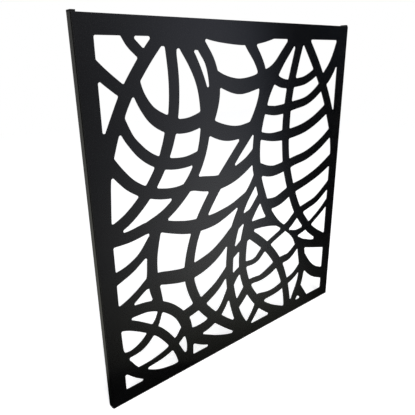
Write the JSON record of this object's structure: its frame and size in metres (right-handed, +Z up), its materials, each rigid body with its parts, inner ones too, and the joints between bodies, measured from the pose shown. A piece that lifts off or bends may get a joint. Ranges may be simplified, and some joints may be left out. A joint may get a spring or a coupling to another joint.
{
  "type": "laser cut metal screen",
  "caption": "Flat metal screen panel: a thin sheet cut into an open web of curved bands, stiffened by an upright tube behind each side edge, with push-in caps in the tube ends.",
  "frame": {"origin": "middle of the footprint, on the surface the screen stands on", "axes": "+X across the screen to the right as seen from the front, -Y the way the cut face looks, +Z up"},
  "size_m": [1.15, 0.028, 1.205],
  "materials": {
    "coated_sheet": "satin black powder coat",
    "coated_tube": "satin black powder coat",
    "cap_plastic": "matte black moulded plastic",
    "coated_weld": "satin black powder coat over the weld bead"
  },
  "bodies": {
    "root": {"face_sheet": "coated_sheet", "left_tube": "coated_tube", "right_tube": "coated_tube", "top_left_cap": "cap_plastic", "top_right_cap": "cap_plastic", "bottom_left_cap": "cap_plastic", "bottom_right_cap": "cap_plastic", "left_welds": "coated_weld", "right_welds": "coated_weld"}
  },
  "joints": []
}
